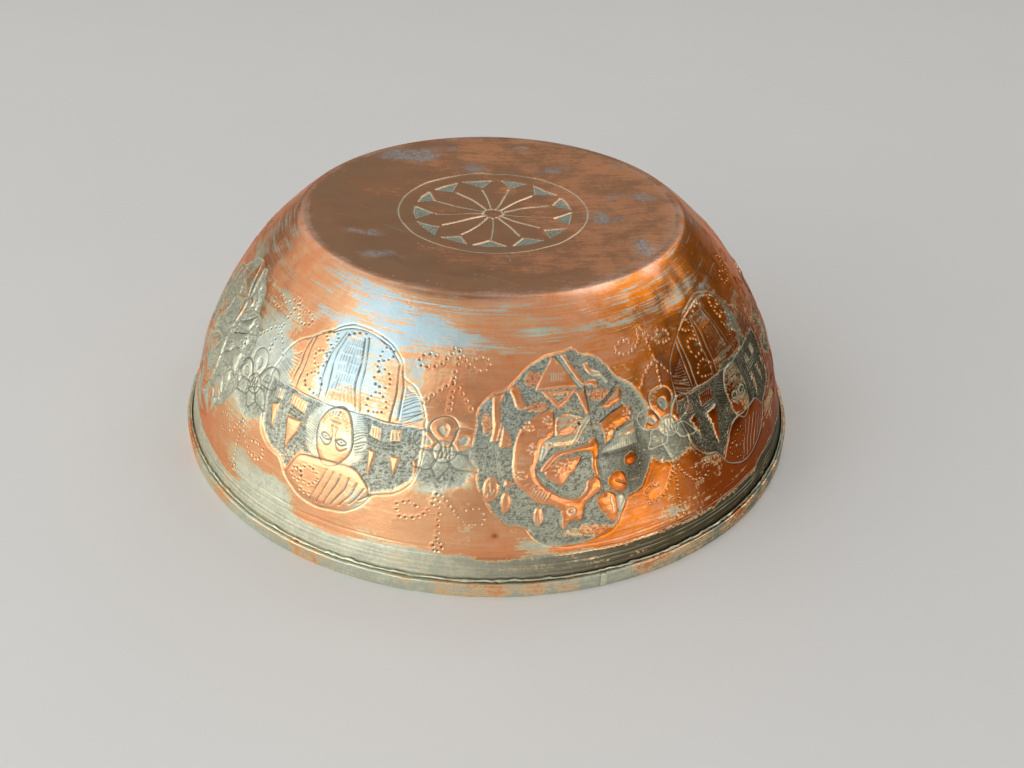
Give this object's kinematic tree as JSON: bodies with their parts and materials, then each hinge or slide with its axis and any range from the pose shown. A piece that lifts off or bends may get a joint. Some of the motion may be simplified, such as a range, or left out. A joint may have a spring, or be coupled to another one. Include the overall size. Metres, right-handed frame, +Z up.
{
  "type": "offering bowl",
  "caption": "Round raised copper bowl with a flared rim, a soldered hoop round its mouth, a tin lining and an engraved rosette on its dished base, stored mouth down.",
  "frame": {"origin": "centre of the mouth, in the plane of the rim that the turned-over bowl rests on", "axes": "+Z up along the bowl's axis, from the mouth to the base; -Y towards the front"},
  "size_m": [0.17, 0.17, 0.059],
  "materials": {
    "copper": "worn satin copper, tinned and wiped through",
    "tin": "dull wiped tin"
  },
  "bodies": {
    "root": {"bowl_shell": "copper", "rim_hoop": "copper", "hoop_joint_solder": "tin", "rim_seam_solder": "tin", "tin_lining": "tin"}
  },
  "joints": []
}
